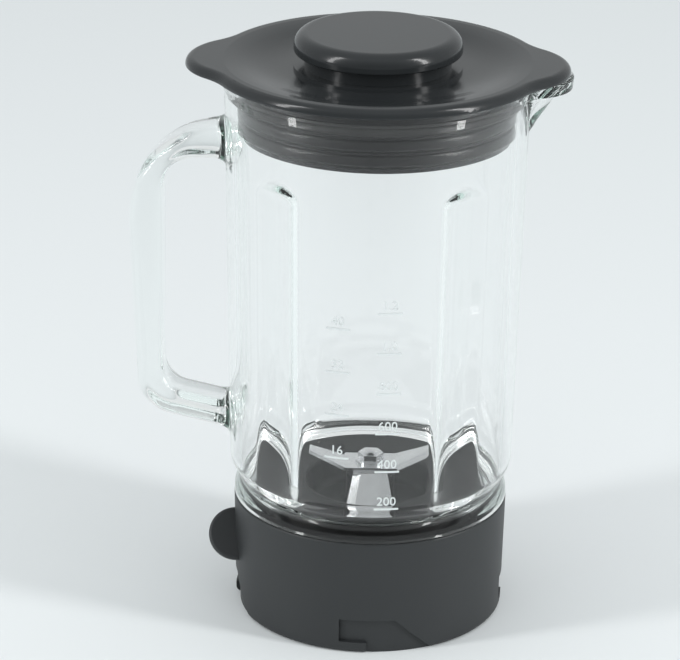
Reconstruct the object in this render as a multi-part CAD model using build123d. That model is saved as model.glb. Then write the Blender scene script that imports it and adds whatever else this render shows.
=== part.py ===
from build123d import *
from math import asin, atan2, degrees, radians, sin, sqrt
import os

# A blender jar: a moulded glass goblet with a handle and a spout, an eared lid with a
# filler cap, and a collar base that carries the blade unit. Millimetres. +Z runs up the
# jar's axis from the table, the handle points to -X, the spout to +X and the front to -Y.
# Angles round the jar are in degrees from the front, growing towards the spout.

full_turn = 360.0
quarter_turn = 90.0
overrun = 2.0  # how far a cutter runs past the face it opens

# Clearances
turn_gap = 0.2  # between the goblet and what it turns against
lift_gap = 0.3  # round what lifts straight out
running_gap = 0.05  # round the spindle in its bushes
seat_gap = 0.02  # round what is pressed or clamped in place

# Base collar
base_height = 52.4
base_top_radius = 60.0
base_foot_radius = 59.0
base_wall = 3.4
base_edge_round = 0.9
base_foot_round = 2.8
socket_radius = 53.6
socket_depth = 10.0
socket_ledge = 1.2
web_underside = 26.0
web_thickness = 4.0
locating_ring_wall = 2.0
locating_ring_height = 2.6

# Bayonet slots round the foot of the base
slot_count = 4
slot_depth = 1.8
slot_lip_height = 5.1
slot_top = 15.8
slot_start_angle = -9.9
slot_lip_end_angle = 1.8
slot_level_end_angle = 13.7
slot_ramp_end_angle = 30.8

# Thumb fin on the side of the base
fin_angle = -80.3
fin_height = 32.2
fin_radius = 11.9
fin_thickness = 3.6
fin_lean_angle = 39.0
fin_edge_round = 1.2

# Bayonet between goblet and base
lug_count = 4
lug_angle = 45.0
lug_width_angle = 25.0
lug_reach = 2.0
lug_thickness = 4.6
lug_lift = 3.0
tab_width_angle = 30.0
tab_thickness = 3.6

# Goblet
foot_height = 8.2
foot_round = 1.8
waist_radius = 59.0
waist_height = 2.4
shoulder_height = 6.6
shoulder_round = 7.0
body_low_radius = 61.9
body_top_radius = 64.9
rim_radius = 67.0
rim_height = 246.4
rim_band = 3.6
rim_flare = 5.5
rim_round = 1.5
glass_wall = 4.8
neck_radius = 54.0
neck_bore_radius = 49.5
floor_low = 57.6
floor_rise = 2.4
floor_round = 4.0
mouth_round = 1.6

# Stirring ridges inside the goblet
ridge_angle = 39.5
ridge_radius = 40.0
ridge_depth = 2.6
ridge_top = 211.5
ridge_run_out = 7.0

# Pouring spout
spout_reach = 83.0
spout_radius = 19.0
spout_lip = 1.7
spout_root = 221.0
spout_root_radius = 3.0
spout_wall = 4.2
channel_tip_radius = 0.6

# Handle
handle_reach = 107.8
handle_lean = 6.0
handle_depth = 22.0
handle_edge_round = 4.0
grip_thickness = 17.0
grip_foot_thickness = 11.0
upper_arm_height = 213.8
upper_arm_thickness = 15.6
lower_arm_height = 97.1
lower_arm_fall = 9.3
lower_arm_thickness = 12.6
outer_upper_bend = 43.0
outer_lower_bend = 17.0
inner_upper_bend = 13.0
inner_lower_bend = 12.0
root_sink = 3.2
root_length = 12.5
root_flare = 4.0
root_bury = 0.8

# Lid
lid_radius = 71.2
lid_edge_height = 4.0
lid_top_round = 3.4
lid_under_round = 0.4
lid_wall = 2.6
ear_reach = 81.6
ear_radius = 30.0
ear_blend = 34.0
ear_hollow = 1.2
dish_fall = 3.8
dish_flat_radius = 45.0
crest_radius = 63.0
crest_round = 60.0
crest_rise = 0.6
collar_wall = 3.0
collar_height = 12.6
collar_ring_width = 4.6
collar_ring_height = 1.4
plug_radius = 54.5
plug_wall = 3.0
plug_depth = 27.0
plug_foot_height = 2.0
plug_foot_reach = 2.6

# Lid seal
seal_lips = 3
seal_pitch = 6.7
seal_groove_depth = 1.9
seal_lip_rise = 1.2
seal_lip_taper = 0.35
seal_groove_height = 0.9

# Filler cap
filler_radius = 28.2
cap_radius = 35.8
cap_height = 8.2
cap_wall = 2.8
cap_edge_round = 5.5
cap_lip_round = 0.9
cap_skirt_wall = 2.4
cap_skirt_depth = 19.2

# Blade carrier
flange_radius = 53.0
flange_thickness = 3.0
carrier_wall = 3.0
carrier_top = 58.2
carrier_rim_round = 1.6
dish_radius = 28.4
dish_floor_radius = 25.6
dish_floor_height = 47.0
dish_floor_round = 3.0
hub_radius = 13.0
hub_drop = 2.0
boss_radius = 10.6
boss_top = 62.0
boss_round = 1.2

# Goblet sealing ring
ring_seal_height = 2.0
ring_seal_inset = 0.8

# Spindle, bushes and shaft seal
spindle_radius = 4.0
bush_radius = 7.0
bush_length = 11.0
shaft_seal_radius = 8.2
shaft_seal_height = 4.5
shaft_seal_wall = 1.1
shaft_seal_lip_drop = 0.6
spindle_flat = 2.9
spindle_neck_radius = 3.6
spindle_tip_radius = 3.0
spindle_tip_height = 3.4

# Blades
blade_thickness = 1.5
upper_blade_width = 17.0
upper_tip_width = 9.0
lower_blade_width = 15.0
lower_tip_width = 21.0
blade_edge_length = 3.4
blade_edge_depth = 1.1
upper_flat_reach = 11.0
upper_wing_length = 17.0
upper_bend_angle = 22.0
lower_flat_reach = 10.0
lower_wing_length = 16.0
lower_bend_angle = -52.0
lower_blade_angle = 2.2
slinger_radius = 9.0
slinger_thickness = 1.0
washer_radius = 6.6
washer_thickness = 1.0
nut_sides = 6
nut_radius = 5.6
nut_height = 3.2
nut_dome_radius = 4.4
nut_dome_height = 1.4

# Drive side of the spindle
thrust_washer_radius = 8.0
thrust_washer_thickness = 1.0
circlip_radius = 6.4
circlip_thickness = 1.0
circlip_groove_depth = 0.7
circlip_opening_angle = 70.0
coupling_radius = 16.0
coupling_height = 6.2
dog_count = 6
dog_width_angle = 26.0
dog_inner_radius = 9.0
dog_height = 4.6
screw_radius = 2.0
screw_length = 9.0
screw_head_radius = 4.4
screw_head_height = 2.4

# Levels and radii that follow from the sizes above
web_top = web_underside + web_thickness
flange_top = web_top + flange_thickness
neck_end = flange_top + ring_seal_height + turn_gap
foot_underside = base_height + turn_gap
foot_top = foot_underside + foot_height
shoulder = foot_top + waist_height + shoulder_height
lug_low = neck_end + lug_lift
tab_low = lug_low + lug_thickness + turn_gap
rim_low = rim_height - rim_band
spout_centre = spout_reach - spout_radius
throat_radius = spout_radius - spout_lip
body_top = rim_low - rim_flare
mouth_radius = body_top_radius - glass_wall
floor_radius = body_low_radius - glass_wall
floor_edge = floor_low + floor_rise
lid_underside = rim_height + turn_gap
lid_top = lid_underside + lid_edge_height
dish_bottom = lid_top - dish_fall
collar_radius = filler_radius + collar_wall
collar_top = dish_bottom + collar_height
plug_end = lid_underside - plug_depth
cap_underside = collar_top + turn_gap
cap_top = cap_underside + cap_wall
hub_bottom = web_underside - hub_drop
carrier_radius = neck_bore_radius - lift_gap
shaft_seal_low = boss_top - shaft_seal_height
slinger_low = boss_top + turn_gap
blade_seat = slinger_low + slinger_thickness
upper_blade_low = blade_seat + blade_thickness
washer_low = upper_blade_low + blade_thickness
nut_low = washer_low + washer_thickness
thrust_top = hub_bottom - turn_gap
circlip_top = thrust_top - thrust_washer_thickness
circlip_low = circlip_top - circlip_thickness
coupling_top = circlip_low - turn_gap
coupling_low = coupling_top - coupling_height


def base_outside(height):
    return base_foot_radius + (base_top_radius - base_foot_radius) * height / base_height


def inner_wall(height):
    share = (height - floor_edge) / (rim_height - floor_edge)
    return floor_radius + (mouth_radius - floor_radius) * share


def outer_wall(height):
    share = (height - shoulder) / (body_top - shoulder)
    return body_low_radius + (body_top_radius - body_low_radius) * share


def turned(corners):
    # A half section of (radius, height, rounding) corners, turned about the jar's axis
    points = [(radius, height) for radius, height, rounding in corners]
    roundings = [rounding for radius, height, rounding in corners]
    section = make_face(FilletPolyline(*points, radius=roundings, close=True))
    return revolve(Plane.XZ * section, Axis.Z)


def drum(radius, low, high):
    return Pos(0, 0, low) * Cylinder(radius, high - low, align=(Align.CENTER, Align.CENTER, Align.MIN))


def ring(inner, outer, low, high):
    return drum(outer, low, high) - drum(inner, low, high)


def ring_sector(inner, outer, low, high, width):
    # Part of a ring, centred on +X
    section = Pos((inner + outer) / 2, (low + high) / 2) * Rectangle(outer - inner, high - low)
    return Rot(0, 0, -width / 2) * revolve(Plane.XZ * section, Axis.Z, revolution_arc=width)


def round_the_axis(shape, count, first_angle):
    # Copies of a shape drawn on +X, spread evenly from an angle counted from the front
    step = full_turn / count
    return [Rot(0, 0, first_angle - quarter_turn + step * index) * shape for index in range(count)]


def slot_cutter():
    # One bayonet slot: a lead-in from the foot that turns into a level slot above a lip
    middle = (slot_start_angle + slot_ramp_end_angle) / 2

    def across(angle):
        return base_foot_radius * sin(radians(angle - middle))

    outline = Polyline(
        (across(slot_start_angle), slot_lip_height),
        (across(slot_start_angle), slot_top),
        (across(slot_level_end_angle), slot_top),
        (across(slot_ramp_end_angle), 0),
        (across(slot_ramp_end_angle), -overrun),
        (across(slot_lip_end_angle), -overrun),
        (across(slot_lip_end_angle), slot_lip_height),
        close=True,
    )
    block = extrude(Plane.XZ * make_face(outline), amount=base_top_radius + overrun)
    core = turned([
        (0, -overrun, 0),
        (base_outside(-overrun) - slot_depth, -overrun, 0),
        (base_outside(base_height) - slot_depth, base_height, 0),
        (0, base_height, 0),
    ])
    return Rot(0, 0, middle + quarter_turn) * (block - core)


def thumb_fin():
    disc = Rot(quarter_turn, 0, 0) * Cylinder(fin_radius, fin_thickness)
    disc = fillet(disc.edges().filter_by(GeomType.CIRCLE), fin_edge_round)
    place = Pos(base_outside(fin_height), 0, fin_height) * Rot(fin_lean_angle, 0, 0)
    inside = turned([
        (0, -overrun, 0),
        (base_outside(-overrun) - base_wall / 2, -overrun, 0),
        (base_outside(base_height) - base_wall / 2, base_height, 0),
        (0, base_height, 0),
    ])
    return Rot(0, 0, fin_angle - quarter_turn) * (place * disc - inside)


def base():
    body = turned([
        (0, 0, 0),
        (base_foot_radius, 0, base_foot_round),
        (base_top_radius, base_height, base_edge_round),
        (0, base_height, 0),
    ])
    body -= turned([
        (0, web_top, 0),
        (base_outside(web_top) - base_wall, web_top, 0),
        (base_top_radius - base_wall, base_height, 0),
        (0, base_height, 0),
    ])
    body -= drum(socket_radius, 0, socket_depth)
    body -= drum(socket_radius - socket_ledge, socket_depth, web_underside)
    body -= drum(hub_radius + seat_gap, web_underside, web_top)
    locating_radius = flange_radius + lift_gap
    locating_top = web_top + locating_ring_height
    body += ring(locating_radius, locating_radius + locating_ring_wall, web_top, locating_top)
    tab = ring_sector(
        neck_radius + lift_gap,
        base_outside(tab_low) - base_wall / 2,
        tab_low,
        tab_low + tab_thickness,
        tab_width_angle,
    )
    for copy in round_the_axis(tab, lug_count, lug_angle):
        body += copy
    for copy in round_the_axis(slot_cutter(), slot_count, 0):
        body -= copy
    return body + thumb_fin()


def goblet_shell():
    # The glass without its handle and spout, solid inside
    return turned([
        (0, neck_end, 0),
        (neck_radius, neck_end, mouth_round),
        (neck_radius, foot_underside, mouth_round),
        (base_top_radius, foot_underside, foot_round),
        (base_top_radius, foot_top, foot_round),
        (waist_radius, foot_top + waist_height, 0),
        (body_low_radius, shoulder, shoulder_round),
        (body_top_radius, body_top, rim_round),
        (rim_radius, rim_low, rim_round),
        (rim_radius, rim_height, rim_round),
        (0, rim_height, 0),
    ])


def goblet_cavity():
    # The hollow of the goblet, with the stirring ridges left standing in it
    hollow = turned([
        (0, neck_end, 0),
        (neck_bore_radius, neck_end, 0),
        (neck_bore_radius, floor_low, mouth_round),
        (floor_radius, floor_edge, floor_round),
        (mouth_radius, rim_height, 0),
        (0, rim_height, 0),
    ])
    draft = degrees(atan2(mouth_radius - floor_radius, rim_height - floor_edge))
    crown = ridge_top - ridge_run_out
    end = Cone(ridge_radius, ridge_radius - 2 * ridge_depth, 2 * ridge_run_out)
    bar = drum(ridge_radius, neck_end - crown, 0) + Pos(0, 0, ridge_run_out) * end
    place = Pos(inner_wall(crown) + ridge_radius - ridge_depth, 0, crown) * Rot(0, draft, 0)
    ridge = place * bar
    for angle in (ridge_angle, -ridge_angle, 2 * quarter_turn - ridge_angle, 2 * quarter_turn + ridge_angle):
        hollow -= Rot(0, 0, angle - quarter_turn) * ridge
    return hollow


def spout_cone(start, low, tip_radius, top_radius):
    # A cone that leans out from a small end on the wall to the spout's centre at the rim
    lean_run = spout_centre - start
    slant = sqrt(lean_run**2 + (rim_height - low) ** 2)
    length = slant + overrun
    end_radius = tip_radius + (top_radius - tip_radius) * length / slant
    cone = Cone(tip_radius, end_radius, length, align=(Align.CENTER, Align.CENTER, Align.MIN))
    return Pos(start, 0, low) * Rot(0, degrees(asin(lean_run / slant)), 0) * cone


def spout_outside():
    start = outer_wall(spout_root) - spout_root_radius
    return spout_cone(start, spout_root, spout_root_radius, throat_radius)


def spout_channel():
    low = spout_root + spout_wall
    return spout_cone(inner_wall(low), low, channel_tip_radius, throat_radius - spout_wall)


def spout_rim():
    # The rim's band where it runs out round the spout
    band = Pos(spout_centre, 0, 0) * drum(spout_radius, rim_low, rim_height)
    return fillet(band.edges().filter_by(GeomType.CIRCLE), rim_round)


def handle_root(sink_radius, height, rise, thickness):
    # A flare from the arm's section to a wider one sunk into the glass wall
    def section(run, flare):
        place = Plane(origin=(-sink_radius - run, 0, height + rise * run), x_dir=(0, 0, 1), z_dir=(-1, 0, 0))
        return place * RectangleRounded(thickness + 2 * flare, handle_depth + 2 * flare, handle_edge_round)

    return loft([section(0, root_flare), section(root_length, -root_bury)])


def handle():
    # The bow's side outline, given its depth and rounded edges, with a flare at each root
    upper_sink = outer_wall(upper_arm_height) - root_sink
    lower_end = lower_arm_height - lower_arm_fall
    lower_sink = outer_wall(lower_end) - root_sink
    lower_reach = handle_reach - handle_lean
    rise = lower_arm_fall / (lower_reach - lower_sink)
    grip_inside = handle_reach - grip_thickness
    grip_lower_inside = lower_reach - grip_foot_thickness
    inside_height = lower_end + rise * (grip_lower_inside - lower_sink)
    upper_bend = min(outer_upper_bend, handle_reach - upper_sink - root_sink)
    upper_half = upper_arm_thickness / 2
    lower_half = lower_arm_thickness / 2
    corners = [
        (-upper_sink, upper_arm_height + upper_half, 0),
        (-handle_reach, upper_arm_height + upper_half, upper_bend),
        (-lower_reach, lower_arm_height - lower_half, outer_lower_bend),
        (-lower_sink, lower_end - lower_half, 0),
        (-lower_sink, lower_end + lower_half, 0),
        (-grip_lower_inside, inside_height + lower_half, inner_lower_bend),
        (-grip_inside, upper_arm_height - upper_half, inner_upper_bend),
        (-upper_sink, upper_arm_height - upper_half, 0),
    ]
    outline = FilletPolyline(
        *[(across, height) for across, height, bend in corners],
        radius=[bend for across, height, bend in corners],
        close=True,
    )
    bow = extrude(Plane.XZ * make_face(outline), handle_depth / 2, both=True)
    sides = bow.edges().group_by(Axis.Y)
    sunk_end = max(upper_sink, lower_sink) + seat_gap
    long_edges = [edge for edge in sides[0] + sides[-1] if edge.center().X < -sunk_end]
    bow = fillet(long_edges, handle_edge_round)
    bow += handle_root(upper_sink, upper_arm_height, 0, upper_arm_thickness)
    return bow + handle_root(lower_sink, lower_end, rise, lower_arm_thickness)


def goblet():
    glass = goblet_shell() + handle() + spout_outside() + spout_rim()
    glass -= drum(handle_reach, rim_height, rim_height + spout_radius)
    glass -= goblet_cavity()
    glass -= spout_channel()
    lug = ring_sector(
        neck_radius - mouth_round,
        neck_radius + lug_reach,
        lug_low,
        lug_low + lug_thickness,
        lug_width_angle,
    )
    for copy in round_the_axis(lug, lug_count, lug_angle):
        glass += copy
    return glass


def goblet_seal():
    inner = neck_bore_radius + ring_seal_inset
    outer = neck_radius - mouth_round
    top = flange_top + ring_seal_height
    return turned([
        (inner, flange_top, 0),
        (outer, flange_top, 0),
        (outer, top, 0),
        (inner, top, 0),
    ])


def lid_outline(inset):
    # The round lid with its two ears, blended by hollow curves
    plan = Circle(lid_radius - inset)
    for side in (1, -1):
        plan += Pos(side * (ear_reach - ear_radius), 0) * Circle(ear_radius - inset)
    return fillet(plan.vertices(), ear_blend + inset)


def lid():
    plate = extrude(Plane.XY.offset(lid_underside) * lid_outline(0), lid_edge_height)
    plate = fillet(plate.edges().filter_by(Plane.XY).group_by(Axis.Z)[-1], lid_top_round)
    plate = fillet(plate.edges().filter_by(Plane.XY).group_by(Axis.Z)[0], lid_under_round)
    plate += drum(plug_radius, dish_bottom - lid_wall, lid_underside + lid_wall)
    plate -= turned([
        (0, dish_bottom, 0),
        (dish_flat_radius, dish_bottom, lid_radius),
        (crest_radius, lid_top, crest_round),
        (ear_reach, lid_top + crest_rise, 0),
        (ear_reach, lid_top + overrun, 0),
        (0, lid_top + overrun, 0),
    ])
    ear_room = extrude(Plane.XY.offset(lid_underside) * lid_outline(lid_wall), ear_hollow)
    plate -= ear_room - drum(rim_radius + rim_round, lid_underside, lid_top)
    plug_room = plug_radius - plug_wall
    plate += ring(plug_room, plug_radius, plug_end, dish_bottom - lid_wall)
    plate += ring(plug_room, plug_radius + plug_foot_reach, plug_end, plug_end + plug_foot_height)
    plate -= drum(plug_room, plug_end, dish_bottom - lid_wall)
    plate += drum(collar_radius + collar_ring_width, dish_bottom, dish_bottom + collar_ring_height)
    plate += drum(collar_radius, dish_bottom, collar_top)
    return plate - drum(filler_radius, plug_end, collar_top)


def lid_seal():
    # A sleeve with soft lips stacked above the plug's foot and a plain top under the lid
    low = plug_end + plug_foot_height
    crest = inner_wall(plug_end) - lift_gap
    groove = crest - seal_groove_depth
    corners = [(plug_radius + seat_gap, low, 0)]
    for index in range(seal_lips):
        foot = low + seal_pitch * index
        corners += [
            (groove, foot, 0),
            (crest, foot + seal_lip_rise, 0),
            (crest - seal_lip_taper, foot + seal_pitch - seal_groove_height, 0),
            (groove, foot + seal_pitch - seal_groove_height, 0),
        ]
    corners += [(groove - seat_gap, lid_underside, 0), (plug_radius + seat_gap, lid_underside, 0)]
    return turned(corners)


def filler_cap():
    skirt_radius = filler_radius - lift_gap
    skirt_end = collar_top - cap_skirt_depth
    lip = cap_radius - cap_wall
    lip_end = cap_top - cap_height
    return turned([
        (0, cap_underside, 0),
        (skirt_radius - cap_skirt_wall, cap_underside, 0),
        (skirt_radius - cap_skirt_wall, skirt_end, 0),
        (skirt_radius, skirt_end, 0),
        (skirt_radius, cap_underside, 0),
        (lip, cap_underside, 0),
        (lip, lip_end, 0),
        (cap_radius, lip_end, cap_lip_round),
        (cap_radius, cap_top, cap_edge_round),
        (0, cap_top, 0),
    ])


def blade_carrier():
    room = carrier_radius - carrier_wall
    room_top = dish_floor_height - carrier_wall
    return turned([
        (bush_radius, hub_bottom, 0),
        (hub_radius, hub_bottom, 0),
        (hub_radius, room_top, 0),
        (dish_floor_radius, room_top, 0),
        (dish_radius + carrier_wall, carrier_top - carrier_wall, 0),
        (room, carrier_top - carrier_wall, 0),
        (room, web_top, 0),
        (flange_radius, web_top, 0),
        (flange_radius, flange_top, 0),
        (carrier_radius, flange_top, 0),
        (carrier_radius, carrier_top, carrier_rim_round),
        (dish_radius, carrier_top, carrier_rim_round),
        (dish_floor_radius, dish_floor_height, dish_floor_round),
        (boss_radius, dish_floor_height, dish_floor_round),
        (boss_radius, boss_top, boss_round),
        (shaft_seal_radius, boss_top, 0),
        (shaft_seal_radius, shaft_seal_low, 0),
        (bush_radius, shaft_seal_low, 0),
    ])


def bush(low):
    return ring(spindle_radius + running_gap, bush_radius - seat_gap, low, low + bush_length)


def shaft_seal():
    outer = shaft_seal_radius - seat_gap
    lip = spindle_radius + running_gap
    floor = shaft_seal_low + shaft_seal_wall
    return turned([
        (lip, shaft_seal_low, 0),
        (outer, shaft_seal_low, 0),
        (outer, boss_top, 0),
        (outer - shaft_seal_wall, boss_top, 0),
        (outer - shaft_seal_wall, floor, 0),
        (lip + shaft_seal_wall, floor, 0),
        (lip + shaft_seal_wall, boss_top - shaft_seal_lip_drop, 0),
        (lip, boss_top - shaft_seal_lip_drop, 0),
    ])


def flats(radius, gap):
    # The spindle's neck or its hole in a blade: a round with two flats
    return Circle(radius + gap) & Rectangle(2 * (radius + overrun), 2 * (spindle_flat + gap))


def spindle():
    shaft = drum(spindle_radius, coupling_low, blade_seat)
    shaft -= ring(spindle_radius - circlip_groove_depth, spindle_radius, circlip_low, circlip_top)
    shaft -= drum(screw_radius + seat_gap, coupling_low, coupling_low + screw_length)
    shaft += extrude(Plane.XY.offset(blade_seat) * flats(spindle_neck_radius, 0), nut_low - blade_seat)
    return shaft + drum(spindle_tip_radius, nut_low, nut_low + spindle_tip_height)


def blade_wing(length, width, tip_width):
    # One ground wing, drawn flat from its bend along +X
    outline = Polyline(
        (0, -width / 2),
        (length, -tip_width / 2),
        (length, tip_width / 2),
        (0, width / 2),
        close=True,
    )
    wing = extrude(make_face(outline), blade_thickness / 2, both=True)
    leading = wing.faces().sort_by(Axis.Y)[0]
    keen_edge = leading.edges().sort_by(Axis.Z)[-1]
    return chamfer(keen_edge, blade_edge_depth, blade_edge_length, reference=leading)


def blade(low, flat_reach, width, wing, bend_angle, facing):
    middle = low + blade_thickness / 2
    plate = extrude(Plane.XY.offset(low) * Rectangle(2 * flat_reach, width), blade_thickness)
    fold = Rot(quarter_turn, 0, 0) * Cylinder(blade_thickness / 2, width)
    wing = fold + Rot(0, -bend_angle, 0) * wing
    for turn in (0, 2 * quarter_turn):
        plate += Rot(0, 0, turn) * (Pos(flat_reach, 0, middle) * wing)
    plate = Rot(0, 0, facing) * plate
    return plate - extrude(Plane.XY.offset(low) * flats(spindle_neck_radius, seat_gap), blade_thickness)


def upper_blade():
    wing = blade_wing(upper_wing_length, upper_blade_width, upper_tip_width)
    return blade(upper_blade_low, upper_flat_reach, upper_blade_width, wing, upper_bend_angle, 0)


def lower_blade():
    wing = blade_wing(lower_wing_length, lower_blade_width, lower_tip_width)
    return blade(blade_seat, lower_flat_reach, lower_blade_width, wing, lower_bend_angle, quarter_turn)


def blade_washer():
    return ring(spindle_neck_radius + seat_gap, washer_radius, washer_low, nut_low)


def slinger():
    return ring(spindle_radius + seat_gap, slinger_radius, slinger_low, blade_seat)


def blade_nut():
    hexagon = extrude(Plane.XY.offset(nut_low) * RegularPolygon(nut_radius, nut_sides), nut_height)
    shoulder_level = nut_low + nut_height
    ball_radius = (nut_dome_radius**2 + nut_dome_height**2) / (2 * nut_dome_height)
    ball = Pos(0, 0, shoulder_level + nut_dome_height - ball_radius) * Sphere(ball_radius)
    dome = ball & drum(nut_dome_radius, shoulder_level, shoulder_level + nut_dome_height)
    return hexagon + dome - drum(spindle_tip_radius + seat_gap, nut_low, nut_low + spindle_tip_height)


def thrust_washer():
    return ring(spindle_radius + running_gap, thrust_washer_radius, circlip_top, thrust_top)


def circlip():
    inner = spindle_radius - circlip_groove_depth + seat_gap
    clip = ring(inner, circlip_radius, circlip_low, circlip_top)
    return clip - ring_sector(0, circlip_radius + overrun, circlip_low, circlip_top, circlip_opening_angle)


def drive_coupling():
    body = ring(spindle_radius + seat_gap, coupling_radius, coupling_low, coupling_top)
    dog_low = coupling_low - dog_height
    dog = ring_sector(dog_inner_radius, coupling_radius, dog_low, coupling_low, dog_width_angle)
    for copy in round_the_axis(dog, dog_count, 0):
        body += copy
    return body


def coupling_screw():
    head = drum(screw_head_radius, coupling_low - screw_head_height, coupling_low)
    return head + drum(screw_radius, coupling_low, coupling_low + screw_length)


def at_rest_angle(piece):
    # The blades stand square to the front, turned a little towards the spout
    return Rot(0, 0, lower_blade_angle) * piece


nodes = {
    "base": base(),
    "blade_carrier": blade_carrier(),
    "goblet_seal": goblet_seal(),
    "upper_bush": bush(shaft_seal_low - bush_length),
    "lower_bush": bush(hub_bottom),
    "shaft_seal": shaft_seal(),
    "spindle": at_rest_angle(spindle()),
    "slinger": slinger(),
    "lower_blade": at_rest_angle(lower_blade()),
    "upper_blade": at_rest_angle(upper_blade()),
    "blade_washer": blade_washer(),
    "blade_nut": blade_nut(),
    "thrust_washer": thrust_washer(),
    "circlip": circlip(),
    "drive_coupling": drive_coupling(),
    "coupling_screw": coupling_screw(),
    "goblet": goblet(),
    "lid": lid(),
    "lid_seal": lid_seal(),
    "filler_cap": filler_cap(),
}

os.makedirs("parts", exist_ok=True)
for name, solid in nodes.items():
    export_step(solid, f"parts/{name}.step")
    print(name, round(solid.volume, 1))
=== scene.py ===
import math

import bmesh
import bpy
from mathutils import Matrix, Vector
from mathutils.geometry import intersect_line_line_2d


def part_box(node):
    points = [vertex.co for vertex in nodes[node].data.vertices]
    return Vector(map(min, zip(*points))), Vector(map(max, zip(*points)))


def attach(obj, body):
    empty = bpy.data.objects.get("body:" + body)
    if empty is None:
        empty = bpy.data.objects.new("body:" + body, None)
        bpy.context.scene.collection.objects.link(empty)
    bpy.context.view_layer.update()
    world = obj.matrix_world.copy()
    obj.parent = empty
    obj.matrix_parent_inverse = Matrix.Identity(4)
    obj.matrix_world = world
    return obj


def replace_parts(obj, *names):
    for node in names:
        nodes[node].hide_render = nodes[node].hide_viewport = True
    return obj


# A glass blender jar with its lid, cap and blade base, dressed for a studio picture.
# Sizes are in millimetres, and meshes are scaled to metres when they are finished.
mm = 0.001
quarter = math.pi / 2
mergeGap = 0.0005  # points closer than this become one
hair = 0.01  # places closer than this count as the same

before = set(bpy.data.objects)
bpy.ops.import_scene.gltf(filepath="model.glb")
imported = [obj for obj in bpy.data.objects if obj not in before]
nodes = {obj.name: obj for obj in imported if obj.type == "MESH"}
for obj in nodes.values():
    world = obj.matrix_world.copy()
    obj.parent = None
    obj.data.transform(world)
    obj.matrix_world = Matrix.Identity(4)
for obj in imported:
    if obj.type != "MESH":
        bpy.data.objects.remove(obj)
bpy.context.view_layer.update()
print("frame loaded:", len(nodes), "nodes")


class Flow:
    # a socket that takes part in sums: each operator adds a Math node
    def __init__(self, tree, socket=None):
        self.tree = tree
        self.socket = socket

    def add(self, kind, settings={}, sockets={}, out=0):
        node = self.tree.nodes.new("ShaderNode" + kind)
        for name, value in settings.items():
            setattr(node, name, value)
        for name, value in sockets.items():
            if isinstance(value, Flow):
                self.tree.links.new(value.socket, node.inputs[name])
            else:
                node.inputs[name].default_value = value
        return Flow(self.tree, node.outputs[out] if node.outputs else None)

    def maths(self, operation, left, right):
        return self.add("Math", {"operation": operation}, {0: left, 1: right})

    def __add__(self, other):
        return self.maths("ADD", self, other)

    def __sub__(self, other):
        return self.maths("SUBTRACT", self, other)

    def __rsub__(self, other):
        return self.maths("SUBTRACT", other, self)

    def __mul__(self, other):
        return self.maths("MULTIPLY", self, other)

    __radd__ = __add__
    __rmul__ = __mul__

    def blend(self, first, second):
        # this value picks between two colours, at the Mix node's colour sockets
        return self.add("Mix", {"data_type": "RGBA"}, {0: self, 6: first, 7: second}, out=2)

    def noise(self, size, detail=2.0, roughness=0.5, stretch=(1, 1, 1)):
        # noise with features about size millimetres across, drawn out along an axis by stretch
        scale = [1 / (size * mm * long) for long in stretch]
        place = self.add("Mapping", {}, {"Vector": self.add("TexCoord", out="Object"), "Scale": scale})
        return self.add("TexNoise", {}, {
            "Vector": place,
            "Scale": 1.0,
            "Detail": detail,
            "Roughness": roughness,
        })

    def bump(self, height, depth, strength):
        return self.add("Bump", {}, {"Height": height, "Distance": depth * mm, "Strength": strength})

    def ray(self, kind):
        return self.add("LightPath", out="Is " + kind + " Ray")


def spread(levels, *patterns):
    # a lowest level, and what each pattern adds to it
    level = levels[0]
    for share, pattern in zip(levels[1:], patterns):
        level = level + share * pattern
    return level


def grey(value, warmth=0.0):
    return (value * (1 + warmth), value, value * (1 - warmth), 1.0)


def makeMaterial(name, build, volume=None):
    # build gives the sockets of the surface, and volume those of what the thickness soaks up
    material = bpy.data.materials.new(name)
    material.use_nodes = True
    material.node_tree.nodes.clear()
    flow = Flow(material.node_tree)
    ends = {"Surface": flow.add("BsdfPrincipled", {}, build(flow))}
    if volume:
        ends["Volume"] = flow.add("VolumeAbsorption", {}, volume)
    flow.add("OutputMaterial", {}, ends)
    return material


# In each finish a noise is its size, detail, roughness and stretch, a bump its depth and strength,
# and rough the lowest roughness and what the noises add.

# Moulded charcoal plastic, glossy on the lid and cap and matt on the base
charcoal = {"deep": (0.018, 0.0202, 0.0216, 1.0), "pale": (0.025, 0.0278, 0.0294, 1.0)}
lidFinish = {
    "cloud": (24.0, 3.0),
    "grain": (0.45, 2.0),
    "rough": (0.16, 0.06, 0.05),
    "bump": (0.01, 0.2),
    "specular": 0.30,
    "coat": 0.22,
    "coatRough": 0.03,
}
baseFinish = {
    "cloud": (38.4, 3.0),
    "grain": (0.81, 4.0, 0.65),
    "rough": (0.40, 0.10, 0.08),
    "bump": (0.05, 0.4),
    "ior": 1.5,
}


def lidPlastic(flow):
    cloud = flow.noise(*lidFinish["cloud"])
    grain = flow.noise(*lidFinish["grain"])
    return {
        "Base Color": cloud.blend(charcoal["deep"], charcoal["pale"]),
        "Roughness": spread(lidFinish["rough"], cloud, grain),
        "Normal": flow.bump(grain, *lidFinish["bump"]),
        "Specular IOR Level": lidFinish["specular"],
        "Coat Weight": lidFinish["coat"],
        "Coat Roughness": lidFinish["coatRough"],
    }


def basePlastic(flow):
    cloud = flow.noise(*baseFinish["cloud"])
    grain = flow.noise(*baseFinish["grain"])
    return {
        "Base Color": cloud.blend(charcoal["deep"], charcoal["pale"]),
        "Roughness": spread(baseFinish["rough"], cloud, grain),
        "Normal": flow.bump(grain, *baseFinish["bump"]),
        "IOR": baseFinish["ior"],
    }


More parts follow.
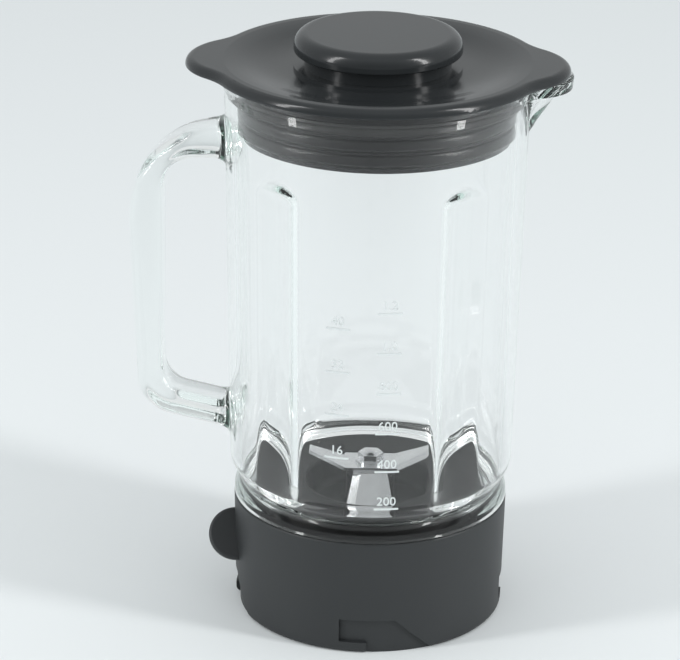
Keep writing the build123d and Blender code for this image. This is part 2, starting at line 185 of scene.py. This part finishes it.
# Black glass-filled nylon of the blade carrier and the drive coupling
nylon = {
    "deep": grey(0.002),
    "pale": grey(0.005),
    "cloud": (16.0, 2.0),
    "fibre": (0.6, 3.0, 0.6, (4, 1, 1)),
    "rough": (0.36, 0.10),
    "bump": (0.01, 0.2),
    "specular": 0.10,
}


def carrierNylon(flow):
    fibre = flow.noise(*nylon["fibre"])
    cloud = flow.noise(*nylon["cloud"])
    return {
        "Base Color": cloud.blend(nylon["deep"], nylon["pale"]),
        "Roughness": spread(nylon["rough"], fibre),
        "Normal": flow.bump(fibre, *nylon["bump"]),
        "Specular IOR Level": nylon["specular"],
    }


# Soft dark rubber
rubber = {
    "deep": grey(0.007),
    "pale": grey(0.012),
    "cloud": (20.0, 3.0),
    "dust": (0.5, 4.0, 0.7),
    "rough": (0.26, 0.10),
    "bump": (0.004, 0.1),
    "specular": 0.40,
}


def sealRubber(flow):
    dust = flow.noise(*rubber["dust"])
    cloud = flow.noise(*rubber["cloud"])
    return {
        "Base Color": cloud.blend(rubber["deep"], rubber["pale"]),
        "Roughness": spread(rubber["rough"], dust),
        "Normal": flow.bump(dust, *rubber["bump"]),
        "Specular IOR Level": rubber["specular"],
    }


# Brushed stainless steel
steel = {
    "deep": grey(0.56, -0.01),
    "pale": grey(0.70, -0.01),
    "cloud": (6.0, 2.0),
    "scratch": (0.18, 3.0, 0.6, (40, 1, 1)),
    "rough": (0.12, 0.16),
    "bump": (0.01, 0.3),
}


def brushedSteel(flow):
    scratch = flow.noise(*steel["scratch"])
    cloud = flow.noise(*steel["cloud"])
    return {
        "Base Color": cloud.blend(steel["deep"], steel["pale"]),
        "Metallic": 1.0,
        "Roughness": spread(steel["rough"], scratch),
        "Normal": flow.bump(scratch, *steel["bump"]),
    }


# Sintered bronze of the two bushes
bronze = {
    "deep": (0.30, 0.17, 0.06, 1.0),
    "pale": (0.46, 0.29, 0.12, 1.0),
    "pore": (0.3, 2.0),
    "rough": (0.34, 0.2),
    "bump": (0.03, 0.4),
}


def sinteredBronze(flow):
    pore = flow.noise(*bronze["pore"])
    return {
        "Base Color": pore.blend(bronze["deep"], bronze["pale"]),
        "Metallic": 1.0,
        "Roughness": spread(bronze["rough"], pore),
        "Normal": flow.bump(pore, *bronze["bump"]),
    }


# Pressed clear glass, faintly green through its thickness
glassFinish = {
    "wave": (9.0, 1.0, 0.4, (1, 1, 5)),
    "bump": (0.06, 0.5),
    "ior": 1.5,
    "tint": {"Color": (0.84, 0.94, 0.90, 1.0), "Density": 9.0},
}


def pressedGlass(flow):
    wave = flow.noise(*glassFinish["wave"])
    return {
        "Base Color": grey(1.0),
        "Roughness": 0.0,
        "IOR": glassFinish["ior"],
        "Transmission Weight": 1.0,
        "Normal": flow.bump(wave, *glassFinish["bump"]),
    }


# Raised scale marks, whose rough tops catch the light
markFinish = {
    "deep": (0.62, 0.66, 0.66, 1.0),
    "pale": (0.74, 0.78, 0.78, 1.0),
    "speck": (0.5, 2.0),
    "rough": (0.25, 0.2),
    "ior": 1.5,
}


def markGlass(flow):
    speck = flow.noise(*markFinish["speck"])
    return {
        "Base Color": speck.blend(markFinish["deep"], markFinish["pale"]),
        "Roughness": spread(markFinish["rough"], speck),
        "IOR": markFinish["ior"],
    }


finishes = {
    "lidPlastic": (lidPlastic, ["lid", "filler_cap"]),
    "basePlastic": (basePlastic, ["base"]),
    "carrierNylon": (carrierNylon, ["blade_carrier", "drive_coupling"]),
    "sealRubber": (sealRubber, ["lid_seal", "goblet_seal", "shaft_seal"]),
    "sinteredBronze": (sinteredBronze, ["upper_bush", "lower_bush"]),
    "brushedSteel": (brushedSteel, [
        "spindle", "slinger", "lower_blade", "upper_blade", "blade_washer", "blade_nut",
        "thrust_washer", "circlip", "coupling_screw",
    ]),
}
materials = {}
for name, (build, wearers) in finishes.items():
    materials[name] = makeMaterial(name, build)
    for wearer in wearers:
        for place in nodes[wearer].material_slots:
            place.material = materials[name]
print("finishes on the CAD pieces:", len(finishes))


def roundedChain(bm, corners, closed, segments):
    # corners (across, up, rounding) in the XZ plane, joined in order and rounded
    verts = [bm.verts.new((across, 0, up)) for across, up, rounding in corners]
    pairs = list(zip(verts, verts[1:] + verts[:1]))
    for pair in pairs if closed else pairs[:-1]:
        bm.edges.new(pair)
    for index, (across, up, rounding) in enumerate(corners):
        if rounding:
            before = corners[index - 1]
            after = corners[(index + 1) % len(corners)]
            coming = Vector((across - before[0], up - before[1]))
            going = Vector((after[0] - across, after[1] - up))
            reach = rounding * math.tan(coming.angle(going) / 2)
            bmesh.ops.bevel(
                bm, geom=[verts[index]], offset=reach, offset_type="OFFSET", affect="VERTICES",
                segments=segments, profile=0.5, material=-1,
            )
    return verts


def chainPoints(corners, segments):
    # the points along an open rounded chain, in order
    bm = bmesh.new()
    here = roundedChain(bm, corners, False, segments)[0]
    points = [here.co.xz]
    seen = {here}
    while True:
        onward = [e.other_vert(here) for e in here.link_edges if e.other_vert(here) not in seen]
        if not onward:
            break
        here = onward[0]
        seen.add(here)
        points.append(here.co.xz)
    bm.free()
    return points


def turnRound(bm, columns):
    # turns a profile once round the upright axis
    bmesh.ops.spin(
        bm, geom=bm.verts[:] + bm.edges[:], cent=(0, 0, 0), axis=(0, 0, 1), dvec=(0, 0, 0),
        angle=4 * quarter, steps=columns, use_merge=True, use_duplicate=False,
    )
    bmesh.ops.remove_doubles(bm, verts=bm.verts, dist=mergeGap)


def softMax(first, second, reach):
    # the larger of two values, with the step between them rounded off
    near = max(reach - abs(first - second), 0) / reach
    return max(first, second) + near * near * reach / 4


def addObject(name, data):
    thing = bpy.data.objects.new(name, data)
    bpy.context.scene.collection.objects.link(thing)
    return thing


def meshFrom(bm, name):
    mesh = bpy.data.meshes.new(name)
    bm.to_mesh(mesh)
    bm.free()
    return mesh


def finishMesh(bm, name, material, body, sharpAbove=40.0):
    # edges that bend by more degrees than sharpAbove stay sharp
    bmesh.ops.remove_doubles(bm, verts=bm.verts, dist=mergeGap)
    bmesh.ops.recalc_face_normals(bm, faces=bm.faces)
    for face in bm.faces:
        face.smooth = True
    for edge in bm.edges:
        edge.smooth = edge.calc_face_angle(0) < math.radians(sharpAbove)
    bmesh.ops.scale(bm, vec=(mm, mm, mm), verts=bm.verts)
    mesh = meshFrom(bm, name)
    mesh.materials.append(material)
    piece = addObject(name, mesh)
    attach(piece, body)
    print(name, "made:", len(mesh.polygons), "faces")
    return piece


# Pressed glass goblet: turned wall, stirring ridges, spout, handle and bayonet lugs
outerLine = ((61.9, 69.8), (64.9, 237.3))  # radius and height at the ends of each wall
innerLine = ((57.1, 60.0), (60.1, 246.4))
rim = {"radius": 67.0, "low": 242.8, "height": 246.4, "round": 1.5}
neck = {"bore": 49.5, "radius": 54.0, "low": 35.2, "top": 52.6, "floor": 57.6}
lugs = {"angles": (-45, 45, 135, -135), "width": 25.0, "low": 38.2, "high": 42.8, "reach": 2.0}
goblet = {
    "profile": [  # radius, height and rounding of each corner, up the outside and down the inside
        (neck["bore"], neck["low"], 0.8),
        (neck["radius"], neck["low"], 1.6),
        (neck["radius"], lugs["low"], 0),
        (neck["radius"], lugs["high"], 0),
        (neck["radius"], neck["top"], 1.6),
        (60.0, neck["top"], 0.6),
        (59.7, 56.2, 4.0),
        (58.0, 62.6, 1.6),
        (*outerLine[0], 7.0),
        (*outerLine[1], 1.5),
        (rim["radius"], rim["low"], rim["round"]),
        (rim["radius"], rim["height"], rim["round"]),
        (*innerLine[1], 0.8),
        (*innerLine[0], 9.0),
        (neck["bore"], neck["floor"], 1.6),
    ],
    "segments": 6,
    "wallStep": 1.8,
    "columns": 288,
    "gather": 0.3,  # how much closer the columns stand at the spout
    "skin": 1.0,  # what lies this close to a wall's line belongs to the wall
}
ridges = {
    "angles": (-50.5, -129.5, 50.5, 129.5),
    "radius": 40.0,
    "depth": 2.6,
    "crown": 204.5,  # where the ridges start to run out
    "runOut": 7.0,
    "soft": 0.9,
}
spout = {
    "centre": 64.0,
    "root": 221.0,
    "rootRadius": 3.0,
    "throat": 17.3,
    "lip": 19.0,
    "lipLow": 239.8,
    "channelRoot": 225.2,
    "channelTip": 0.6,
    "channelTop": 13.1,
    "soft": 3.6,
}


def along(line, height):
    (lowRadius, low), (highRadius, high) = line
    return lowRadius + (highRadius - lowRadius) * (height - low) / (high - low)


def ridgeFace(height, turn):
    # radius of the nearest ridge's face at a height and angle, or none
    above = max(height - ridges["crown"], 0) / ridges["runOut"]
    size = ridges["radius"] - ridges["depth"] * above
    centre = along(innerLine, height) + ridges["radius"] - ridges["depth"]
    for angle in ridges["angles"]:
        off = turn - math.radians(angle)
        swing = centre * math.sin(off)
        if math.cos(off) > 0 and abs(swing) < size:
            return centre * math.cos(off) - math.sqrt(size ** 2 - swing ** 2)
    return None


def spoutFace(height, turn, low, start, tip, top, lip=0.0):
    # radius of a cone leaning out to the spout's centre, at a height and angle, or none
    share = (height - low) / (rim["height"] - low)
    if share <= 0:
        return None
    size = max(tip + (top - tip) * share, lip)
    centre = start + (spout["centre"] - start) * share
    swing = centre * math.sin(turn)
    if math.cos(turn) < 0 or abs(swing) >= size:
        return None
    return centre * math.cos(turn) + math.sqrt(size ** 2 - swing ** 2)


def lipSize(height):
    # radius of the rim's band round the spout, rounded at its lower edge
    if height < spout["lipLow"]:
        return 0.0
    under = max(rim["round"] - height + spout["lipLow"], 0)
    return spout["lip"] - rim["round"] + math.sqrt(rim["round"] ** 2 - under ** 2)


def innerRadius(height, turn, radius):
    face = ridgeFace(height, turn)
    if face is not None:
        radius = -softMax(-radius, -face, ridges["soft"])
    low = spout["channelRoot"]
    start = along(innerLine, low)
    channel = spoutFace(height, turn, low, start, spout["channelTip"], spout["channelTop"])
    if channel is not None:
        radius = softMax(radius, channel, spout["soft"])
    return radius


def outerRadius(height, turn, radius):
    low = spout["root"]
    start = along(outerLine, low) - spout["rootRadius"]
    face = spoutFace(height, turn, low, start, spout["rootRadius"], spout["throat"], lipSize(height))
    return radius if face is None else softMax(radius, face, spout["soft"])


def shapeWall(vert):
    # moves a point of the turned wall onto the ridges and the spout
    radius = vert.co.xy.length
    turn = math.atan2(vert.co.y, vert.co.x)
    turn -= goblet["gather"] * math.sin(turn)
    vert.co.xy = (radius * math.cos(turn), radius * math.sin(turn))
    height = vert.co.z
    inner = along(innerLine, height)
    edge = rim["radius"] - rim["round"]
    if height < neck["floor"] - hair:
        return
    if radius < inner + goblet["skin"]:
        moved = innerRadius(height, turn, min(radius, inner)) + max(radius - inner, 0)
    elif height > rim["height"] - hair and radius <= edge:
        share = (radius - inner) / (edge - inner)
        inside = innerRadius(height, turn, inner)
        outside = outerRadius(height, turn, rim["radius"]) - rim["round"]
        moved = inside + (outside - inside) * share
    elif height > rim["height"] - rim["round"]:
        moved = outerRadius(height, turn, rim["radius"]) - (rim["radius"] - radius)
    else:
        moved = outerRadius(height, turn, radius)
    vert.co.xy *= moved / radius


def addLugs(bm):
    outside = neck["radius"] - goblet["skin"]
    for angle in lugs["angles"]:
        picked = []
        for face in bm.faces:
            middle = face.calc_center_median()
            off = math.atan2(middle.y, middle.x) - math.radians(angle)
            off = math.atan2(math.sin(off), math.cos(off))
            level = lugs["low"] < middle.z < lugs["high"]
            if level and middle.xy.length > outside and abs(off) < math.radians(lugs["width"] / 2):
                picked.append(face)
        made = bmesh.ops.extrude_face_region(bm, geom=picked)["geom"]
        bmesh.ops.delete(bm, geom=picked, context="FACES")
        for vert in made:
            if isinstance(vert, bmesh.types.BMVert):
                vert.co.xy *= (neck["radius"] + lugs["reach"]) / vert.co.xy.length


# The handle's bow: side contours as corners (across, height, bend), from the wall out and back
handle = {
    "outer": [(-58.0, 221.6, 0), (-107.8, 221.6, 43.0), (-101.8, 90.8, 17.0), (-58.0, 81.24, 0)],
    "inner": [(-58.0, 206.0, 0), (-90.8, 206.0, 13.0), (-90.8, 101.0, 12.0), (-58.0, 93.84, 0)],
    "outerSegments": 40,
    "innerSegments": 24,
    "upperPivot": (-77.8, 193.0),  # where the sections fan round each bend
    "lowerPivot": (-78.8, 110.7),
    "rayLength": 200.0,  # past any contour
    "depth": 22.0,
    "squareness": 3.4,
    "flare": 2.6,
    "flareLength": 5.0,
    "flareRows": 7,
    "bendRows": 14,
    "gripRows": 20,
    "patchColumns": 18,
    "patchRows": 12,
    "rootHeights": (213.8, 88.5),
}


def crossing(origin, direction, chain):
    # where a ray meets a contour
    far = origin + direction * handle["rayLength"]
    for first, second in zip(chain, chain[1:]):
        hit = intersect_line_line_2d(origin, far, first, second)
        if hit:
            return hit
    return None


def handleStations():
    # inner point, outer point, flare and share of the wall's roundness for each section
    outer = chainPoints(handle["outer"], handle["outerSegments"])
    inner = chainPoints(handle["inner"], handle["innerSegments"])
    upper = Vector(handle["upperPivot"])
    lower = Vector(handle["lowerPivot"])
    rows = []

    def cut(origin, direction, flare=0.0, roundness=0.0):
        origin = Vector(origin)
        direction = Vector(direction)
        inside = crossing(origin, direction, inner)
        outside = crossing(origin, direction, outer)
        rows.append((inside, outside, flare, roundness))

    def flareRow(step, height, level, direction):
        slope = quarter * step / handle["flareRows"]
        out = handle["flareLength"] * (1 - math.cos(slope))
        flare = handle["flare"] * (1 - math.sin(slope))
        cut((-along(outerLine, height) - out, level), direction, flare, math.cos(slope))

    def bendRow(step, pivot, start):
        swing = start + quarter * step / handle["bendRows"]
        cut(pivot, (math.cos(swing), math.sin(swing)))

    upperRoot, lowerRoot = handle["rootHeights"]
    for step in range(handle["flareRows"] + 1):
        flareRow(step, upperRoot, upper.y, (0, 1))
    for step in range(handle["bendRows"] + 1):
        bendRow(step, upper, quarter)
    for step in range(1, handle["gripRows"]):
        cut(upper.lerp(lower, step / handle["gripRows"]), (-1, 0))
    for step in range(handle["bendRows"] + 1):
        bendRow(step, lower, 2 * quarter)
    for step in reversed(range(handle["flareRows"] + 1)):
        flareRow(step, lowerRoot, lower.y, (0, -1))
    return rows


def openWall(bm, height):
    # opens a patch of the outer wall at a handle root, and returns its edges and each point's seat
    skin = goblet["skin"]
    behind = [v for v in bm.verts if abs(v.co.y) < hair and v.co.x < skin - along(outerLine, v.co.z)]
    levels = sorted(v.co.z for v in behind if outerLine[0][1] < v.co.z < outerLine[1][1])
    nearest = min(range(len(levels)), key=lambda index: abs(levels[index] - height))
    low = levels[nearest - handle["patchRows"] // 2]
    high = levels[nearest + handle["patchRows"] // 2]
    halfTurn = (1 + goblet["gather"]) * math.pi * handle["patchColumns"] / goblet["columns"]
    patch = []
    for face in bm.faces:
        middle = face.calc_center_median()
        outside = middle.xy.length > along(outerLine, middle.z) - skin
        if outside and low < middle.z < high and abs(math.atan2(middle.y, -middle.x)) < halfTurn:
            patch.append(face)
    bmesh.ops.delete(bm, geom=patch, context="FACES")
    edges = [e for e in bm.edges if e.is_boundary and low - hair < e.verts[0].co.z < high + hair]
    widest = max(v.co.y for e in edges for v in e.verts)
    power = handle["squareness"]
    seats = {}
    for vert in {v for e in edges for v in e.verts}:
        rise = (2 * vert.co.z - low - high) / (high - low)
        side = vert.co.y / widest
        size = (abs(rise) ** power + abs(side) ** power) ** (1 / power)
        seats[vert] = (rise / size, side / size)
    return edges, seats


def seatRing(seats, row, turnOver=1):
    # puts a ring's points on one section of the handle
    inner, outer, flare, roundness = row
    centre = (inner + outer) / 2
    arm = (outer - inner) / 2
    arm *= 1 + flare / arm.length
    for vert, (rise, side) in seats.items():
        place = centre + arm * rise * turnOver
        across = (handle["depth"] / 2 + flare) * side
        wall = along(outerLine, place.y)
        bow = wall - math.sqrt(wall ** 2 - across ** 2)
        vert.co = (place.x + bow * roundness, across, place.y)


def addHandle(bm):
    rows = handleStations()
    upperHeight, lowerHeight = handle["rootHeights"]
    ring, seats = openWall(bm, upperHeight)
    lowerRing, lowerSeats = openWall(bm, lowerHeight)
    seatRing(seats, rows[0])
    seatRing(lowerSeats, rows[-1], -1)
    for row in rows[1:-1]:
        made = bmesh.ops.extrude_edge_only(bm, edges=ring)["geom"]
        fresh = {v for v in made if isinstance(v, bmesh.types.BMVert)}
        nextSeats = {}
        for vert in fresh:
            parent = next(e.other_vert(vert) for e in vert.link_edges if e.other_vert(vert) in seats)
            nextSeats[vert] = seats[parent]
        ring = [e for e in made if isinstance(e, bmesh.types.BMEdge) and fresh.issuperset(e.verts)]
        seats = nextSeats
        seatRing(seats, row)
    bmesh.ops.bridge_loops(bm, edges=ring + lowerRing)


def makeGoblet(material):
    bm = bmesh.new()
    roundedChain(bm, goblet["profile"], True, goblet["segments"])
    for edge in list(bm.edges):
        cuts = int(edge.calc_length() / goblet["wallStep"])
        if cuts:
            bmesh.ops.subdivide_edges(bm, edges=[edge], cuts=cuts)
    turnRound(bm, goblet["columns"])
    for vert in bm.verts:
        shapeWall(vert)
    addLugs(bm)
    addHandle(bm)
    return finishMesh(bm, "goblet_glass", material, "goblet")


glassMaterial = makeMaterial("pressedGlass", pressedGlass, glassFinish["tint"])
gobletGlass = makeGoblet(glassMaterial)
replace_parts(gobletGlass, "goblet")


# Rubber sleeve round the lid's plug, with three soft lips
sleeve = {
    "bore": 54.6,
    "lips": 3,
    "pitch": 6.7,
    "groove": 1.9,
    "grooveHeight": 0.9,
    "crestRise": 1.5,
    "crestRound": 1.4,
    "taper": 0.8,
    "shoulderRound": 1.6,
    "segments": 5,
    "columns": 144,
}


def makeSleeve(material):
    low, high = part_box("lid_seal")
    foot = low[2] / mm
    crest = high[0] / mm
    groove = crest - sleeve["groove"]
    corners = [(sleeve["bore"], foot, 0)]
    for lip in range(sleeve["lips"]):
        top = foot + sleeve["pitch"] - sleeve["grooveHeight"]
        corners += [
            (groove, foot, 0),
            (crest, foot + sleeve["crestRise"], sleeve["crestRound"]),
            (crest - sleeve["taper"], top, sleeve["shoulderRound"]),
            (groove, top, 0),
        ]
        foot += sleeve["pitch"]
    corners += [(groove, high[2] / mm, 0), (sleeve["bore"], high[2] / mm, 0)]
    bm = bmesh.new()
    roundedChain(bm, corners, True, sleeve["segments"])
    turnRound(bm, sleeve["columns"])
    return finishMesh(bm, "seal_sleeve", material, "lid")


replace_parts(makeSleeve(materials["sealRubber"]), "lid_seal")


# Moulded scale on the front of the glass: angle from the front, then labels and their heights
scale = {
    "columns": [
        (8.6, ("200", "400", "600", "800", "1.0", "1.2"), (70.1, 87.5, 105.1, 123.5, 141.7, 159.8)),
        (-11.2, ("16", "24", "32", "40"), (93.2, 112.9, 132.5, 152.1)),
    ],
    "letter": 5.6,
    "letterSteps": 3,
    "underline": 10.4,
    "underlineCuts": 8,
    "stroke": 0.75,
    "above": 1.7,
    "rise": 0.45,
    "sink": 0.05,
    "sharpAbove": 30.0,
}


def wrapOnWall(bm, angle, level):
    # rolls flat work (across, up, out) round the outer wall at an angle from the front
    for vert in bm.verts:
        height = level + vert.co.y
        radius = along(outerLine, height)
        turn = math.radians(angle) + vert.co.x / radius
        radius += vert.co.z
        vert.co = (radius * math.sin(turn), -radius * math.cos(turn), height)


def markLabel(text):
    curve = bpy.data.curves.new("label", "FONT")
    curve.body = text
    curve.size = scale["letter"]
    curve.align_x = "CENTER"
    curve.resolution_u = scale["letterSteps"]
    curve.extrude = (scale["rise"] + scale["sink"]) / 2
    holder = addObject("label", curve)
    bpy.context.view_layer.update()
    mesh = bpy.data.meshes.new_from_object(holder)
    bm = bmesh.new()
    bm.from_mesh(mesh)
    bmesh.ops.translate(bm, vec=(0, scale["above"], (scale["rise"] - scale["sink"]) / 2), verts=bm.verts)
    bpy.data.objects.remove(holder)
    bpy.data.meshes.remove(mesh)
    bpy.data.curves.remove(curve)
    return bm


def markLine():
    bm = bmesh.new()
    bmesh.ops.create_cube(bm, size=1)
    size = (scale["underline"], scale["stroke"], scale["rise"] + scale["sink"])
    bmesh.ops.scale(bm, vec=size, verts=bm.verts)
    bmesh.ops.translate(bm, vec=(0, 0, (scale["rise"] - scale["sink"]) / 2), verts=bm.verts)
    lengthwise = [e for e in bm.edges if abs(e.verts[0].co.x - e.verts[1].co.x) > hair]
    bmesh.ops.subdivide_edges(bm, edges=lengthwise, cuts=scale["underlineCuts"], use_grid_fill=True)
    return bm


def makeScale(material):
    whole = bmesh.new()
    for angle, labels, levels in scale["columns"]:
        for text, level in zip(labels, levels):
            for part in (markLabel(text), markLine()):
                wrapOnWall(part, angle, level)
                mesh = meshFrom(part, "mark")
                whole.from_mesh(mesh)
                bpy.data.meshes.remove(mesh)
    return finishMesh(whole, "scale_marks", material, "goblet", scale["sharpAbove"])


makeScale(makeMaterial("markGlass", markGlass))


# Studio, in metres: a pale floor, a pale surround and two soft lamps
studio = {
    "floor": (0.735, 0.775, 0.775, 1.0),
    "floorDeep": grey(0.75, -0.02),
    "floorCloud": (900.0, 3.0),
    "floorRough": 0.9,
    "floorSpecular": 0.2,
    "floorSize": 16.0,
    "paintedFloorShade": grey(0.36, -0.03),  # painted shade: the floor's colour as reflections find it near the camera
    "paintedShadeReach": (-0.30, -0.75),  # where that starts and is full, ahead of the jar
    "surround": (0.88, 0.91, 0.92, 1.0),
    "strength": 0.88,
    "shade": 0.24,  # how much darker reflections find the room
    "gloom": 0.40,  # and darker still behind the camera
    "gloomTurn": (-0.5, -0.95),  # where that starts and is full, as a direction
    "bounces": 24,  # so that light finds its way through the thick glass
    "lamps": [  # angle from the front, height, distance, width, length, tilt and power
        ("leftLamp", -64.0, 1.05, 1.5, 0.22, 1.6, 20.0, 13.0),
        ("rightLamp", 68.0, 1.05, 1.5, 0.22, 1.6, 20.0, 16.0),
    ],
}


def ahead(flow, place, reach):
    # grows from nothing to one between two places along the way to the camera
    level = flow.add("SeparateXYZ", {}, {"Vector": flow.add("TexCoord", out=place)}, out="Y")
    return flow.add("MapRange", {}, {"Value": level, "From Min": reach[0], "From Max": reach[1]})


def floorPaper(flow):
    cloud = flow.noise(*studio["floorCloud"])
    # painted shade: in reflections only, the floor turns darker towards the camera
    gloom = ahead(flow, "Object", studio["paintedShadeReach"]) * flow.ray("Glossy")
    paper = cloud.blend(studio["floorDeep"], studio["floor"])
    return {
        "Base Color": gloom.blend(paper, studio["paintedFloorShade"]),
        "Roughness": studio["floorRough"],
        "Specular IOR Level": studio["floorSpecular"],
    }


def makeFloor():
    bm = bmesh.new()
    bmesh.ops.create_grid(bm, x_segments=2, y_segments=2, size=studio["floorSize"] / 2)
    mesh = meshFrom(bm, "floor")
    mesh.materials.append(makeMaterial("floorPaper", floorPaper))
    floor = addObject("floor", mesh)


def makeLamps():
    for name, angle, height, distance, width, length, tilt, power in studio["lamps"]:
        light = bpy.data.lights.new(name, "AREA")
        light.shape = "RECTANGLE"
        light.size = width
        light.size_y = length
        light.energy = power
        lamp = addObject(name, light)
        turn = math.radians(angle)
        lamp.location = (distance * math.sin(turn), -distance * math.cos(turn), height)
        lamp.rotation_euler = (quarter - math.radians(tilt), 0, turn)


def makeSurround():
    world = bpy.data.worlds.new("surround")
    world.use_nodes = True
    world.node_tree.nodes.clear()
    flow = Flow(world.node_tree)
    glossy = flow.ray("Glossy")
    mirrored = glossy * (1 - flow.ray("Transmission"))  # reflected last, and not bent through the glass
    behind = ahead(flow, "Generated", studio["gloomTurn"])
    level = studio["strength"] - studio["shade"] * mirrored - studio["gloom"] * behind * glossy
    sky = flow.add("Background", {}, {"Color": studio["surround"], "Strength": level})
    flow.add("OutputWorld", {}, {"Surface": sky})
    bpy.context.scene.world = world
    for limit in ("max_bounces", "glossy_bounces", "transmission_bounces"):
        setattr(bpy.context.scene.cycles, limit, studio["bounces"])


# Camera, at the photograph's place: a long lens a little above the lid, looking down
view = {
    "lens": 185.9,
    "sensor": 36.0,
    "farEnd": 50.0,
    "azimuth": 2.2,
    "distance": 1419.7,
    "height": 691.5,
    "pitch": 21.68,
    "yaw": -0.58,
    "roll": 0.87,
}


def makeCamera():
    data = bpy.data.cameras.new("camera")
    data.lens = view["lens"]
    data.sensor_width = view["sensor"]
    data.clip_end = view["farEnd"]
    camera = addObject("camera", data)
    spot = Matrix.Rotation(math.radians(view["azimuth"]), 4, "Z")
    spot @= Matrix.Translation(Vector((0, -view["distance"], view["height"])) * mm)
    spot @= Matrix.Rotation(math.radians(-view["yaw"]), 4, "Z")
    spot @= Matrix.Rotation(quarter - math.radians(view["pitch"]), 4, "X")
    spot @= Matrix.Rotation(math.radians(view["roll"]), 4, "Z")
    camera.matrix_world = spot
    bpy.context.scene.camera = camera


makeFloor()
makeLamps()
makeSurround()
makeCamera()
bpy.context.scene.view_settings.view_transform = "Standard"
print("studio and camera set")
